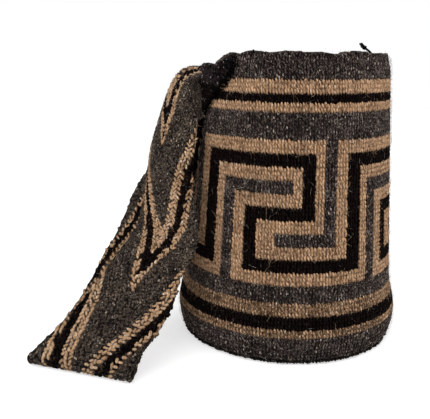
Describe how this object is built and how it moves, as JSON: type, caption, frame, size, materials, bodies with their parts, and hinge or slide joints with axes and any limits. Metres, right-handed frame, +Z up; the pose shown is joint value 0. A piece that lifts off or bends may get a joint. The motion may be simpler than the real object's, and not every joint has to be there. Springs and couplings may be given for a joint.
{
  "type": "arhuaca mochila bag",
  "caption": "Round crocheted wool bucket bag with a step-fret band round its wall, striped edges and one wide woven shoulder strap that falls beside it.",
  "frame": {"origin": "centre of the flat underside of the base", "axes": "+Z up through the open mouth, -Y towards the front that shows the full fret, -X towards the side on which the strap falls"},
  "size_m": [0.3404, 0.2778, 0.2898],
  "materials": {
    "crocheted_wool": "thick hand-spun wool in three natural colours, matt and hairy",
    "woven_wool": "the same wool woven with a plaited face, matt and hairy",
    "black_yarn": "matt black wool yarn"
  },
  "bodies": {
    "root": {"bag_body": "crocheted_wool", "shoulder_strap": "woven_wool", "near_strap_seam": "black_yarn", "far_strap_seam": "black_yarn"}
  },
  "joints": []
}
